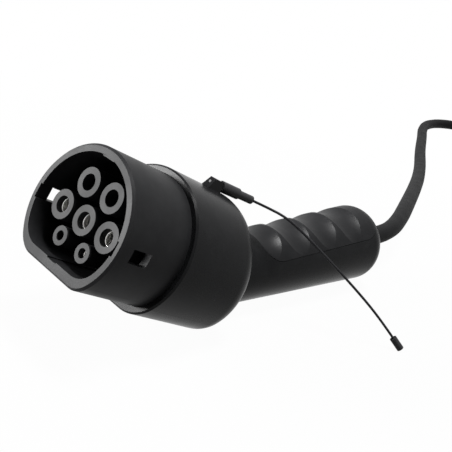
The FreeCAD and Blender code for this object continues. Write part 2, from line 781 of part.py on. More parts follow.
def handle_post(name, radius, spot, height):
    """A cylinder across the handle, towards the finger side, from spot in the handle's frame."""
    item = doc.addObject("Part::Cylinder", name)
    item.Placement = HANDLE * FreeCAD.Placement(vector(*spot), UPRIGHT)
    return bind(item, Radius=radius, Height=height)


plain_handle = handle_cone("plain_handle", CONE_START, size.handle_length, handle_radius)
doc.recompute()
far_edges = edges_where(
    plain_handle.Shape,
    lambda edge: all(
        abs(FROM_HANDLE.multVec(vertex.Point).x - size.handle_length) < 1e-4 for vertex in edge.Vertexes
    ),
)
handle_outer = fillet("handle_outer", plain_handle, far_edges, size.handle_end_round)

SEAM_TURN = FreeCAD.Rotation(Y_AXIS, -size.grip_seam_rise)
BLOCK_WIDTH = 5 * size.handle_radius
BLOCK_HEIGHT = 4 * size.handle_radius


def grip_region(name, gap):
    """The block that the grip cover fills: flat below, with its two lower corners rounded."""
    plain = doc.addObject("Part::Box", name + "_block")
    plain.Length = size.grip_end - size.grip_start + 2 * gap
    plain.Width = BLOCK_WIDTH
    plain.Height = BLOCK_HEIGHT
    corner = vector(size.grip_start - gap, -BLOCK_WIDTH / 2, size.grip_seam - gap)
    plain.Placement = HANDLE * FreeCAD.Placement(corner, SEAM_TURN)
    doc.recompute()
    local = plain.Placement.inverse()

    def lower_corner(edge):
        ends = [local.multVec(vertex.Point) for vertex in edge.Vertexes]
        return all(abs(end.z) < 1e-4 for end in ends) and abs(ends[0].x - ends[1].x) < 1e-4

    return fillet(name, plain, edges_where(plain.Shape, lower_corner), size.grip_corner + gap)


recess = cut(
    "grip_recess", grip_region("recess_region", size.grip_gap),
    handle_cone("skin_floor", CONE_START, size.handle_length + 2, skin_radius, -size.fit_gap),
)
hollow = handle_cone("handle_hollow", -size.spigot_reach - 1, size.bore_end, bore_radius)
cable_hole = along_handle(
    "cable_hole", "Sizes.cable_width / 2 + Sizes.cable_hole_gap", size.bore_end - 1,
    "Sizes.handle_length - Derived.bore_end + 2",
)
spigot = along_handle("spigot", "Derived.spigot_radius", -size.spigot_reach, "Derived.spigot_reach")
trimmed = cut("handle_trimmed", handle_outer, head_outer)
handle_solid = fuse("handle_solid", trimmed, spigot)
handle = cut("handle", handle_solid, hollow, cable_hole, recess)
finish(handle, "handle_shell", "connector")

# Grip cover: the finger side's soft insert, with a shallow groove for each finger.
grooves = []
for index in range(int(size.groove_count)):
    s = size.groove_first + index * size.groove_pitch
    section = (size.groove_chord ** 2 / 4 + size.groove_depth ** 2) / (2 * size.groove_depth)
    groove = doc.addObject("Part::Torus", "groove_%d" % index)
    groove.Placement = HANDLE * FreeCAD.Placement(vector(s, 0, -size.groove_offset), ALONG_X)
    groove.Radius1 = handle_radius(s) + size.groove_offset - size.groove_depth + section
    groove.Radius2 = section
    grooves.append(groove)
cover_form = common("cover_form", handle_outer, grip_region("cover_region", 0.0))
cover_inside = handle_cone("cover_inside", CONE_START, size.handle_length + 2, skin_radius)
finish(cut("cover", cover_form, cover_inside, *grooves), "grip_cover", "connector")

# Cable entry: the jacket's end inside the handle, a two-part clamp on it, and the boot at the end wall.
tail = along_handle(
    "tail", "Sizes.cable_width / 2", size.cable_tail_start, "Derived.boot_reach - Derived.cable_tail_start"
)
finish(tail, "cable_tail", "connector")
boot_flange = along_handle(
    "boot_flange", "Derived.boot_flange_radius", size.bore_end - size.boot_flange_thick, "Sizes.boot_flange_thick"
)
boot_neck = along_handle(
    "boot_neck", "Sizes.cable_width / 2 + Sizes.cable_hole_gap - Sizes.fit_gap / 2", size.bore_end,
    "Sizes.handle_length - Derived.bore_end",
)


def boot_radius(s):
    share = (s - size.handle_length) / (size.boot_reach - size.handle_length)
    start = size.cable_hole_gap - size.fit_gap / 2
    return size.cable_width / 2 + start + (size.boot_end_wall - start) * share


boot_taper = handle_cone("boot_taper", size.handle_length, size.boot_reach, boot_radius)
boot_way = along_handle(
    "boot_way", "Sizes.cable_width / 2", size.bore_end - size.boot_flange_thick - 1,
    "Derived.boot_reach - Derived.bore_end + Sizes.boot_flange_thick + 2",
)
finish(
    cut("boot", fuse("boot_form", boot_flange, boot_neck, boot_taper), boot_way), "cable_boot", "connector"
)

clamp_end = size.clamp_start + size.clamp_length
clamp_disc = handle_cone("clamp_disc", size.clamp_start, clamp_end, bore_radius, -size.fit_gap)
clamp_way = along_handle("clamp_way", "Sizes.cable_width / 2", size.clamp_start - 1, "Sizes.clamp_length + 2")
clamp_middle = size.clamp_start + size.clamp_length / 2


def clamp_half(name, label, low, tools):
    """Half of the clamp, from low to the bore on that side."""
    region = doc.addObject("Part::Box", name + "_region")
    region.Placement = HANDLE * FreeCAD.Placement(vector(size.clamp_start - 1, -BLOCK_WIDTH / 2, low), UPRIGHT)
    bind(region, Length="Sizes.clamp_length + 2")
    region.Width = BLOCK_WIDTH
    region.Height = BLOCK_HEIGHT
    half = common(name + "_half", clamp_disc, region)
    finish(cut(name, half, clamp_way, *tools), label, "connector")


def clamp_holes(name, radius, low, height):
    return [
        handle_post("%s_%d" % (name, side), radius, (clamp_middle, side * size.clamp_screw_y, low), height)
        for side in (-1, 1)
    ]


screw_low = -size.clamp_screw_length / 2
head_seat = size.clamp_screw_length / 2 - size.screw_head_thick
clamp_half(
    "upper_clamp", "clamp_upper", size.clamp_split / 2,
    clamp_holes("upper_clamp_hole", "Sizes.screw_shank / 2 + Sizes.fit_gap", 0, "Sizes.clamp_screw_length")
    + clamp_holes(
        "upper_clamp_seat", "Sizes.screw_head / 2 + Sizes.fit_gap", head_seat, "Sizes.clamp_screw_length"
    ),
)
clamp_half(
    "lower_clamp", "clamp_lower", -BLOCK_HEIGHT - size.clamp_split / 2,
    clamp_holes("lower_clamp_hole", "Sizes.screw_shank / 2", screw_low, "Sizes.clamp_screw_length / 2"),
)
clamp_screws = doc.addObject("Part::Compound", "clamp_screw_group")
clamp_screws.Links = [
    fuse("clamp_screw_%d" % index, shank, screw_top)
    for index, (shank, screw_top) in enumerate(
        zip(
            clamp_holes(
                "clamp_shank", "Sizes.screw_shank / 2", screw_low,
                "Sizes.clamp_screw_length - Sizes.screw_head_thick",
            ),
            clamp_holes("clamp_head", "Sizes.screw_head / 2", head_seat, "Sizes.screw_head_thick"),
        )
    )
]
finish(clamp_screws, "clamp_screws", "connector")


def rounded_route(points):
    """Straight runs joined by tangent arcs, each as large as its two runs allow. Returns wire and radii."""
    edges = []
    radii = []
    here = points[0]
    for before, corner, after in zip(points, points[1:], points[2:]):
        back = (before - corner).normalize()
        ahead = (after - corner).normalize()
        turn = math.pi - back.getAngle(ahead)
        shorter = min((before - corner).Length, (after - corner).Length)
        reach = 0.45 * shorter
        radius = reach / math.tan(turn / 2)
        first = corner + back * reach
        second = corner + ahead * reach
        inward = (back + ahead).normalize()
        middle = corner + inward * (radius / math.cos(turn / 2) - radius)
        edges.append(Part.LineSegment(here, first).toShape())
        edges.append(Part.Arc(first, middle, second).toShape())
        radii.append(radius)
        here = second
    edges.append(Part.LineSegment(here, points[-1]).toShape())
    return Part.Wire(edges), radii


def tube(points, width):
    """A round cord of this width along the route."""
    wire, radii = rounded_route(points)
    way = (points[1] - points[0]).normalize()
    section = Part.Wire([Part.Circle(points[0], way, width / 2).toShape()])
    swept = wire.makePipeShell([section], True, True)
    expected = wire.Length * math.pi * width ** 2 / 4
    print("cord %.1f mm long, volume ratio %.4f, radii %s" % (
        wire.Length, swept.Volume / expected, " ".join("%.0f" % radius for radius in radii)))
    return swept


# Wires: from the contacts' barrels through the handle to the jacket's end.
WIRE_ANGLES = {"earth": 270.0, "neutral": 30.0, "line": 150.0, "pilot": 90.0}
PILOT_SPREAD = 1.5
BARREL_RUN = 10.0
GATHER_PLACE = size.spigot_reach + 2.0
GATHER_ACROSS = 0.42
GATHER_RISE = 0.4
GATHER_DROP = 1.0
BUNCH_PLACE = 15.0


def wire_points(name):
    y, z = SPOT_NUMBERS[name]
    angle = math.radians(WIRE_ANGLES[name])
    spread = size.wire_spread * (PILOT_SPREAD if name == "pilot" else 1.0)
    across = (spread * math.cos(angle), -spread * math.sin(angle))
    end = size.cable_tail_start
    return [
        vector(-size.barrel_end, y, z),
        vector(-size.barrel_end - BARREL_RUN, y, z),
        HANDLE.multVec(
            vector(-GATHER_PLACE, GATHER_ACROSS * y + across[0], GATHER_RISE * z + across[1] - GATHER_DROP)
        ),
        HANDLE.multVec(vector(BUNCH_PLACE, across[0], across[1])),
        HANDLE.multVec(vector(end, across[0], across[1])),
    ]


for name in WIRE_ANGLES:
    width = size.pilot_wire_width if name == "pilot" else size.wire_width
    finish(feature(name + "_wire_form", tube(wire_points(name), width)), name + "_wire", "connector")

# Resistor: soldered between the proximity contact and the earth contact.
right, rise = SPOT_NUMBERS["proximity"]
back = -size.barrel_end
lead_turn = back - size.resistor_length
EARTH_SPOT = (1.5, 2.1)
HALF_WAY = 0.6
HALF_WAY_SAG = 1.0
BODY_START = 0.5
lead_points = [
    vector(back, right, rise),
    vector(lead_turn, right, rise),
    vector(lead_turn - HALF_WAY_SAG, right * HALF_WAY, rise * HALF_WAY),
    vector(lead_turn, *EARTH_SPOT),
    vector(back, *EARTH_SPOT),
]
lead = tube(lead_points, size.lead_width)
resistor_way = (lead_points[2] - lead_points[1]).normalize()
resistor_body = Part.makeCylinder(
    size.resistor_width / 2, size.resistor_body_length, lead_points[1] + resistor_way * BODY_START, resistor_way
)
finish(feature("resistor_form", lead.fuse(resistor_body)), "proximity_resistor", "connector")


# Tether: a stepped sleeve crimped on the wire rope behind the lug, with the rope's end in the lug.
FERRULE_START = vector(-size.lug_rear - size.ferrule_setback, 0, -size.tether_height)
FERRULE = FreeCAD.Placement(
    FERRULE_START,
    FreeCAD.Rotation(Z_AXIS, 180 + size.ferrule_swing) * FreeCAD.Rotation(Y_AXIS, size.ferrule_lift),
)


def along_ferrule(name, radius, start, length):
    item = doc.addObject("Part::Cylinder", name)
    item.Placement = FERRULE * FreeCAD.Placement(vector(start, 0, 0), ALONG_X)
    return bind(item, Radius=radius, Height=length)


ferrule_reach = size.ferrule_length + size.ferrule_tail_length
ferrule = fuse(
    "ferrule",
    along_ferrule("ferrule_front", "Sizes.ferrule_width / 2", 0, "Sizes.ferrule_length"),
    along_ferrule(
        "ferrule_back", "Sizes.ferrule_tail_width / 2", size.ferrule_length, "Sizes.ferrule_tail_length"
    ),
    rod(
        "rope_end", "Sizes.tether_width / 2", "-Derived.lug_rear - 2 * Sizes.ferrule_setback",
        "Derived.lug_rear - Derived.lug_peak + 3 * Sizes.ferrule_setback", "0", "-Derived.tether_height",
    ),
)
finish(ferrule, "tether_ferrule", "tether")


# Rest: the line that touches the round of the head's lower back edge and the round of the handle's end.
def rest_turn():
    """The angle that the connector is tipped by, and the height of its frame over the floor."""
    lean = math.radians(size.head_rear_lean)
    low = size.head_flat - size.head_rear_fillet
    first = vector(
        (size.head_rear_fillet - low * math.sin(lean)) / math.cos(lean) - size.head_rear, 0, low
    )
    far = size.handle_length - size.handle_end_round
    inset = size.handle_end_round / math.cos(math.radians(size.handle_flare))
    second = HANDLE.multVec(vector(far, 0, -(handle_radius(far) - inset)))
    gap = second - first
    between = math.acos((size.head_rear_fillet - size.handle_end_round) / gap.Length)
    down = math.atan2(gap.z, gap.x) - between
    touch = vector(math.cos(down), 0, math.sin(down))
    return math.asin(-touch.x), touch.dot(first) + size.head_rear_fillet


tip, lift = rest_turn()
REST = FreeCAD.Rotation(
    vector(0, -math.cos(tip), math.sin(tip)),
    vector(-1, 0, 0),
    vector(0, -math.sin(tip), -math.cos(tip)),
    "XYZ",
)
doc.recompute()


def turned_box(item):
    shape = item.Shape.copy()
    shape.Placement = FreeCAD.Placement(vector(0, 0, lift), REST).multiply(shape.Placement)
    return shape.optimalBoundingBox(False, False)


box = FreeCAD.BoundBox()
for item, label, frame in finished:
    if frame == "connector":
        box.add(turned_box(item))
PLACE = FreeCAD.Placement(vector(-box.Center.x, -box.Center.y, lift), REST)
print("lowest point %.3f mm, tipped %.2f degrees, moved %s" % (box.ZMin, math.degrees(tip), PLACE.Base))
for item, label, frame in finished:
    item.Placement = PLACE * item.Placement

# Cable: out of the boot, down to the floor and round to the coil that holds the rest of its length.
EXIT = PLACE.multVec(HANDLE.multVec(vector(size.boot_reach, 0, 0)))
EXIT_AHEAD = (PLACE.Rotation * HANDLE.Rotation).multVec(X_AXIS)
COIL_TURN = size.cable_width
COIL_RADIUS = size.coil_middle / 2
OUTER_TURN = COIL_RADIUS + (size.coil_columns - 1) * COIL_TURN / 2
COIL_FLOOR = size.coil_lift + size.cable_width / 2
COIL_TOP = COIL_FLOOR + (size.coil_layers - 1) * COIL_TURN
COIL_SPOT = (-95.0, 500.0)
ENTRY_ANGLE = 110.0
LEAVE_ANGLE = 20.0
LEAD_START = 14.0
ENTRY_RUN = 38.0
LEAVE_RUN = 26.0
DROP_RUN = 50.0
PLUG_RUN = 14.0
PLUG_SPOT = (15.0, 450.5)
PLUG_ANGLE = -74.0


def from_exit(x, y, z):
    """A point of the cable: x and y from where it leaves the boot, z from the floor."""
    return vector(EXIT.x + x, EXIT.y + y, z)


def on_coil(angle, height, ahead=0.0):
    """A point on the coil's outer turn, or ahead of it on the tangent, in the way that the turns run."""
    turn = math.radians(angle)
    return from_exit(
        COIL_SPOT[0] + OUTER_TURN * math.cos(turn) + ahead * math.sin(turn),
        COIL_SPOT[1] + OUTER_TURN * math.sin(turn) - ahead * math.cos(turn),
        height,
    )


LEAD_POINTS = [
    (-3.4, 30.5, 23.6),
    (-11.0, 49.0, 24.4),
    (-21.0, 69.0, 24.0),
    (-37.0, 100.0, 21.8),
    (-60.0, 144.0, 17.8),
    (-88.0, 196.0, 13.0),
    (-119.0, 249.0, 9.0),
    (-159.0, 311.0, 7.0),
    (-199.0, 377.0, 6.2),
    (-226.0, 419.0, 6.0),
    (-243.0, 455.0, 6.1),
    (-247.0, 495.0, 6.2),
    (-232.0, 533.0, 6.3),
    (-199.0, 557.5, 6.6),
]
lead_points = (
    [EXIT, EXIT + EXIT_AHEAD * LEAD_START]
    + [from_exit(*point) for point in LEAD_POINTS]
    + [on_coil(ENTRY_ANGLE, COIL_FLOOR, -ENTRY_RUN), on_coil(ENTRY_ANGLE, COIL_FLOOR)]
)
finish(feature("lead_tube", tube(lead_points, size.cable_width)), "cable_lead", "floor")

plug_axis = size.plug_radius
end_start = on_coil(LEAVE_ANGLE, COIL_TOP)
plug_turn = math.radians(PLUG_ANGLE)
plug_spot = from_exit(*PLUG_SPOT, plug_axis)
plug_way = vector(math.cos(plug_turn), math.sin(plug_turn), 0)
end_points = [
    end_start,
    on_coil(LEAVE_ANGLE, COIL_TOP, LEAVE_RUN),
    on_coil(LEAVE_ANGLE, (COIL_TOP + plug_axis) / 2, DROP_RUN),
    plug_spot - plug_way * PLUG_RUN,
    plug_spot,
]
finish(feature("end_tube", tube(end_points, size.cable_width)), "cable_end", "floor")

coil_half = size.coil_columns * COIL_TURN / 2
coil_height = size.coil_layers * COIL_TURN
coil_centre = from_exit(*COIL_SPOT, size.coil_lift)
ring_outside = Part.makeCylinder(COIL_RADIUS + coil_half, coil_height, coil_centre)
ring_inside = Part.makeCylinder(COIL_RADIUS - coil_half, coil_height, coil_centre)
ring_solid = ring_outside.cut(ring_inside)
coil_ring = feature("coil_ring", ring_solid.makeFillet(size.coil_edge, [
    edge for edge in ring_solid.Edges if isinstance(edge.Curve, Part.Circle)
]))


def notch(name, angle, behind, ahead, low, high):
    """The room beside the outer turn where the cable joins or leaves it on the tangent."""
    side = size.cable_width / 2 + size.coil_notch_gap
    spot = on_coil(angle, 0)
    turn = FreeCAD.Rotation(Z_AXIS, angle - 90)
    item = doc.addObject("Part::Box", name)
    item.Placement = FreeCAD.Placement(vector(spot.x, spot.y, 0), turn) * FreeCAD.Placement(
        vector(-behind, -side, low), UPRIGHT
    )
    item.Length = behind + ahead
    item.Width = 4 * side
    item.Height = high - low
    return item


NOTCH_RUN = 60.0
END_DROP = 2.5
notch_half = size.cable_width / 2 + size.coil_notch_gap
coil = cut(
    "coil", coil_ring,
    notch("entry_notch", ENTRY_ANGLE, NOTCH_RUN, 0, -1, COIL_FLOOR + notch_half),
    notch("leave_notch", LEAVE_ANGLE, 0, NOTCH_RUN, COIL_TOP - notch_half - END_DROP, COIL_TOP + COIL_TURN),
)
finish(coil, "cable_coil", "floor")

# Tie: a closed strap round the coil's turns.
TIE_ANGLE = 215.0
tie_turn = FreeCAD.Rotation(Z_AXIS, TIE_ANGLE)
tie_inner = COIL_RADIUS - coil_half - size.coil_lift - size.tie_thick
tie_band = Part.makeBox(
    2 * coil_half + 2 * size.coil_lift + size.tie_thick, size.tie_width, coil_height + 2 * size.coil_lift,
    vector(tie_inner, -size.tie_width / 2, 0),
)
tie_band.Placement = FreeCAD.Placement(vector(coil_centre.x, coil_centre.y, 0), tie_turn)
tie_space = Part.makeCylinder(COIL_RADIUS + coil_half + size.fit_gap, coil_height, coil_centre).cut(
    Part.makeCylinder(COIL_RADIUS - coil_half - size.fit_gap, coil_height, coil_centre)
)
finish(feature("tie", tie_band.cut(tie_space)), "coil_tie", "floor")

# Plug: the round lead plug for the control box, lying on the floor beside the coil.
PLUG = FreeCAD.Placement(plug_spot, FreeCAD.Rotation(Z_AXIS, math.degrees(plug_turn)))
plug_start = size.plug_boot_length
plug_front = plug_start + size.plug_length


def along_plug(name, radius, start, length, y=0.0, z=0.0):
    item = doc.addObject("Part::Cylinder", name)
    item.Placement = PLUG * FreeCAD.Placement(vector(start, y, z), ALONG_X)
    return bind(item, Radius=radius, Height=length)


ribs = []
for index in range(int(size.plug_rib_count)):
    turn = FreeCAD.Rotation(X_AXIS, (index + 0.5) * 360 / size.plug_rib_count)
    slot = doc.addObject("Part::Box", "plug_slot_%d" % index)
    corner = vector(plug_start + size.plug_rib_inset, -size.plug_rib_width / 2, size.plug_radius - size.plug_rib_depth)
    slot.Placement = PLUG * FreeCAD.Placement(vector(0, 0, 0), turn) * FreeCAD.Placement(corner, UPRIGHT)
    ribs.append(bind(slot, Length="Sizes.plug_length - 2 * Sizes.plug_rib_inset",
                     Width="Sizes.plug_rib_width", Height="2 * Sizes.plug_rib_depth"))
plug_body = along_plug("plug_barrel", "Sizes.plug_radius", plug_start, "Sizes.plug_length")
doc.recompute()
plug_rounded = fillet(
    "plug_rounded", plug_body, edges_where(plug_body.Shape, lambda edge: isinstance(edge.Curve, Part.Circle)),
    size.plug_edge,
)
finish(cut("plug_grip", plug_rounded, *ribs), "plug_body", "floor")
plug_boot = doc.addObject("Part::Cone", "plug_boot_form")
plug_boot.Placement = PLUG * FreeCAD.Placement(vector(0, 0, 0), ALONG_X)
bind(
    plug_boot, Radius1="Sizes.cable_width / 2 + Sizes.boot_end_wall", Radius2="Derived.plug_boot_width / 2",
    Height="Sizes.plug_boot_length",
)
finish(plug_boot, "plug_boot", "floor")
nose_tube = along_plug("plug_nose_tube", "Derived.plug_nose_radius", plug_front, "Sizes.plug_nose_length")
nose_space = along_plug(
    "plug_nose_space", "Derived.plug_nose_radius - Sizes.plug_nose_wall", plug_front, "Sizes.plug_nose_length + 1"
)
finish(cut("plug_nose_form", nose_tube, nose_space), "plug_nose", "floor")
insert_disc = along_plug(
    "insert_disc", "Derived.plug_nose_radius - Sizes.plug_nose_wall - Sizes.fit_gap / 2", plug_front,
    "Sizes.plug_nose_length - Sizes.plug_insert_setback",
)
pin_spots = [(0.0, 0.0)] + [
    (size.plug_pin_circle * math.cos(math.radians(angle)), size.plug_pin_circle * math.sin(math.radians(angle)))
    for angle in (45, 135, 225, 315)
]
pin_ways = [
    along_plug("pin_way_%d" % index, "Sizes.plug_pin_width / 2", plug_front, "Sizes.plug_nose_length", y, z)
    for index, (y, z) in enumerate(pin_spots)
]
finish(cut("plug_insert_form", insert_disc, *pin_ways), "plug_insert", "floor")
pins = [
    along_plug(
        "pin_%d" % index, "Sizes.plug_pin_width / 2", plug_front,
        "Sizes.plug_nose_length - Sizes.plug_insert_setback + Sizes.plug_pin_length", y, z,
    )
    for index, (y, z) in enumerate(pin_spots)
]
pin_group = doc.addObject("Part::Compound", "plug_pin_group")
pin_group.Links = pins
finish(pin_group, "plug_pins", "floor")

# Tether rope: from the ferrule over the side of the handle down to the floor, with a crimped end sleeve.
ROPE_START = PLACE.multVec(FERRULE.multVec(vector(ferrule_reach, 0, 0)))
ROPE_AHEAD = (PLACE.Rotation * FERRULE.Rotation).multVec(X_AXIS)
ROPE_RUN = 8.0
ROPE_POINTS = [
    (13.0, 16.4, -5.6),
    (28.4, 27.0, -16.6),
    (45.0, 41.2, -31.0),
    (57.0, 51.6, -42.6),
    (65.1, 58.1, -51.7),
]
rope_points = [ROPE_START, ROPE_START + ROPE_AHEAD * ROPE_RUN] + [
    ROPE_START + vector(*point) for point in ROPE_POINTS
]
rope_end = rope_points[-1]
finish(feature("rope", tube(rope_points, size.tether_width)), "tether_rope", "floor")
rope_way = (rope_points[-1] - rope_points[-2]).normalize()
finish(
    feature("sleeve", Part.makeCylinder(size.sleeve_width / 2, size.sleeve_length, rope_end, rope_way)),
    "tether_sleeve", "floor",
)

doc.recompute()
os.makedirs("parts", exist_ok=True)
for item in doc.Objects:
    if "Invalid" in item.State or "Error" in item.State:
        raise SystemExit("%s is %s" % (item.Name, item.State))
for item, label, frame in finished:
    if item.Shape.isNull() or not item.Shape.isValid():
        raise SystemExit("%s has a faulty shape" % label)
    print("%-20s %10.1f mm3 %d solids" % (label, item.Shape.Volume, len(item.Shape.Solids)))
for item, label, frame in finished:
    item.Shape.exportStep("parts/%s.step" % label)
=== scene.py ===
import json
import math

import bpy
from mathutils import Matrix, Vector


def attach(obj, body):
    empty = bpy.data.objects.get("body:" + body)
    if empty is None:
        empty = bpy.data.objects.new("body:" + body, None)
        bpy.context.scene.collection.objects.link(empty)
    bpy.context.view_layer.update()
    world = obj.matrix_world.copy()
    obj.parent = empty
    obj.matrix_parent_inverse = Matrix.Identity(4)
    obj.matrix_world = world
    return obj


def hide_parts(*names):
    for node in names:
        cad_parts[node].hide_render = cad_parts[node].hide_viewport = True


# A charging connector for an electric car, lying on its back on a pale floor, with its cable and cap tether.
# Lengths are in metres. MM turns the millimetre sizes of the real object into metres.

MM = 0.001

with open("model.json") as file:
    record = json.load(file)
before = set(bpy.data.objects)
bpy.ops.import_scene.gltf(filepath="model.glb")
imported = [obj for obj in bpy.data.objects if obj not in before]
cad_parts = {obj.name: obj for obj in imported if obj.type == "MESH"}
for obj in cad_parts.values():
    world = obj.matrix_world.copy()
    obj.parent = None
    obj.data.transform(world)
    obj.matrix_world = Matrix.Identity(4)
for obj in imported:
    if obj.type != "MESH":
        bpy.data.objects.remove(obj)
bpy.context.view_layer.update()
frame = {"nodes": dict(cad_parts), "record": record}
nodes = frame["nodes"]

# Camera: the photograph's place, direction and framing.
CAMERA_PLACE = Vector((0.22615, -0.26997, 0.17634))
CAMERA_AZIMUTH = 41.673
CAMERA_ELEVATION = 21.412
CAMERA_ROLL = 14.819
CAMERA_FOCAL_PIXELS = 760.27
PHOTO_WIDTH = 452
SENSOR_WIDTH = 36.0
CAMERA_NEAREST = 0.01


def camera_turn(azimuth, elevation, roll):
    """The camera's own axes, from the direction it looks in and its turn about that direction."""
    a, e, r = (math.radians(angle) for angle in (azimuth, elevation, roll))
    ahead = Vector((-math.sin(a) * math.cos(e), math.cos(a) * math.cos(e), -math.sin(e)))
    level = ahead.cross(Vector((0, 0, 1))).normalized()
    above = level.cross(ahead)
    right = level * math.cos(r) + above * math.sin(r)
    up = right.cross(ahead)
    return Matrix((right, up, -ahead)).transposed().to_4x4()


def make_camera():
    data = bpy.data.cameras.new("camera")
    data.sensor_width = SENSOR_WIDTH
    data.lens = CAMERA_FOCAL_PIXELS / PHOTO_WIDTH * SENSOR_WIDTH
    data.clip_start = CAMERA_NEAREST
    camera = bpy.data.objects.new("camera", data)
    camera.matrix_world = Matrix.Translation(CAMERA_PLACE) @ camera_turn(
        CAMERA_AZIMUTH, CAMERA_ELEVATION, CAMERA_ROLL
    )
    bpy.context.scene.collection.objects.link(camera)
    bpy.context.scene.camera = camera


# Materials: each is a function that gives a node tree, from these few helpers.
GLOSS = 0.06
METAL_GLOSS = 0.5


class Tree:
    """A material's node tree around one Principled shader."""

    def __init__(self, name, colour, roughness, metallic=0.0):
        self.material = bpy.data.materials.new(name)
        self.material.use_nodes = True
        self.nodes = self.material.node_tree.nodes
        self.links = self.material.node_tree.links
        self.shader = self.nodes["Principled BSDF"]
        self.set("Base Color", (*colour, 1.0))
        self.set("Roughness", roughness)
        self.set("Metallic", metallic)
        self.set("Specular IOR Level", METAL_GLOSS if metallic else GLOSS)
        self.place = self.add("ShaderNodeTexCoord").outputs["Object"]

    def set(self, socket, value):
        self.shader.inputs[socket].default_value = value

    def add(self, kind, **values):
        node = self.nodes.new(kind)
        for name, value in values.items():
            setattr(node, name, value)
        return node

    def join(self, start, end):
        self.links.new(start, end)

    def noise(self, size, detail=2.0, rough=0.5):
        """Noise whose largest marks are about this size in metres."""
        node = self.add("ShaderNodeTexNoise")
        node.inputs["Scale"].default_value = 1.0 / size
        node.inputs["Detail"].default_value = detail
        node.inputs["Roughness"].default_value = rough
        self.join(self.place, node.inputs["Vector"])
        return node.outputs["Fac"]

    def span(self, value, low, high, new_low, new_high):
        """Maps value from low to high onto new_low to new_high, and stops at the ends."""
        node = self.add("ShaderNodeMapRange")
        for socket, number in zip(
            ("From Min", "From Max", "To Min", "To Max"), (low, high, new_low, new_high)
        ):
            node.inputs[socket].default_value = number
        self.join(value, node.inputs["Value"])
        return node.outputs["Result"]

    def mix(self, share, first, second):
        """A colour between first and second."""
        node = self.add("ShaderNodeMix", data_type="RGBA")
        self.join(share, node.inputs["Factor"])
        for socket, colour in (("A", first), ("B", second)):
            node.inputs[socket].default_value = (*colour, 1.0)
        return node.outputs["Result"]

    def bump(self, height, distance, strength, under=None):
        """Relief of this depth in metres, on top of another one if given."""
        node = self.add("ShaderNodeBump")
        node.inputs["Strength"].default_value = strength
        node.inputs["Distance"].default_value = distance
        self.join(height, node.inputs["Height"])
        if under is not None:
            self.join(under, node.inputs["Normal"])
        return node.outputs["Normal"]

    def into(self, socket, value):
        self.join(value, self.shader.inputs[socket])


HAND_MARKS = 26 * MM
DUST_CLOUDS = 9 * MM
DUST_GAIN = 1.4
DUST_LIFT = 0.001


def moulded_plastic(name, colour, roughness, grain, depth):
    """Black moulded plastic: an eroded grain, handling marks in its gloss, and a little dust."""
    tree = Tree(name, colour, roughness)
    marks = tree.noise(HAND_MARKS, 5.0, 0.6)
    tree.into("Roughness", tree.span(marks, 0.3, 0.7, roughness - 0.06, roughness + 0.07))
    dusty = tuple(part * DUST_GAIN + DUST_LIFT for part in colour)
    cloud = tree.span(tree.noise(DUST_CLOUDS, 6.0, 0.7), 0.45, 0.8, 0.0, 1.0)
    tree.into("Base Color", tree.mix(cloud, colour, dusty))
    fine = tree.noise(grain, 3.0, 0.6)
    tree.into("Normal", tree.bump(fine, depth, 0.6))
    return tree.material


JACKET_WAVES = 7 * MM
JACKET_WAVE_DEPTH = 0.12 * MM
JACKET_GRAIN = 0.25 * MM
JACKET_GRAIN_DEPTH = 0.02 * MM


def extruded_jacket(name, colour, roughness):
    """A cable's jacket: long faint waves and a fine satin grain."""
    tree = Tree(name, colour, roughness)
    wave = tree.noise(JACKET_WAVES, 2.0, 0.4)
    fine = tree.noise(JACKET_GRAIN, 2.0, 0.5)
    tree.into("Roughness", tree.span(wave, 0.3, 0.7, roughness - 0.05, roughness + 0.06))
    waves = tree.bump(wave, JACKET_WAVE_DEPTH, 0.5)
    tree.into("Normal", tree.bump(fine, JACKET_GRAIN_DEPTH, 0.5, waves))
    return tree.material


PLATING_CLOUDS = 3 * MM
TOOL_MARKS = 0.15 * MM
TOOL_MARK_DEPTH = 0.008 * MM


def plated_metal(name, colour, roughness):
    """Turned and plated metal: fine marks of the tool, and cloudy gloss."""
    tree = Tree(name, colour, roughness, 1.0)
    cloud = tree.noise(PLATING_CLOUDS, 4.0, 0.6)
    tree.into("Roughness", tree.span(cloud, 0.3, 0.7, roughness - 0.07, roughness + 0.1))
    tree.into("Normal", tree.bump(tree.noise(TOOL_MARKS), TOOL_MARK_DEPTH, 0.5))
    return tree.material


WEAVE = 0.9 * MM
WEAVE_DEPTH = 0.15 * MM


def woven_strap(name, colour, roughness):
    """A woven strap: threads over and under."""
    tree = Tree(name, colour, roughness)
    threads = tree.add("ShaderNodeTexChecker")
    threads.inputs["Scale"].default_value = 1.0 / WEAVE
    tree.join(tree.place, threads.inputs["Vector"])
    tree.into("Normal", tree.bump(threads.outputs["Fac"], WEAVE_DEPTH, 0.7))
    return tree.material


SHELL = (0.0040, 0.0041, 0.0044)
NOSE = (0.0065, 0.0066, 0.0070)
CARRIER = (0.007, 0.0071, 0.0074)
GRIP = (0.0055, 0.0056, 0.0060)

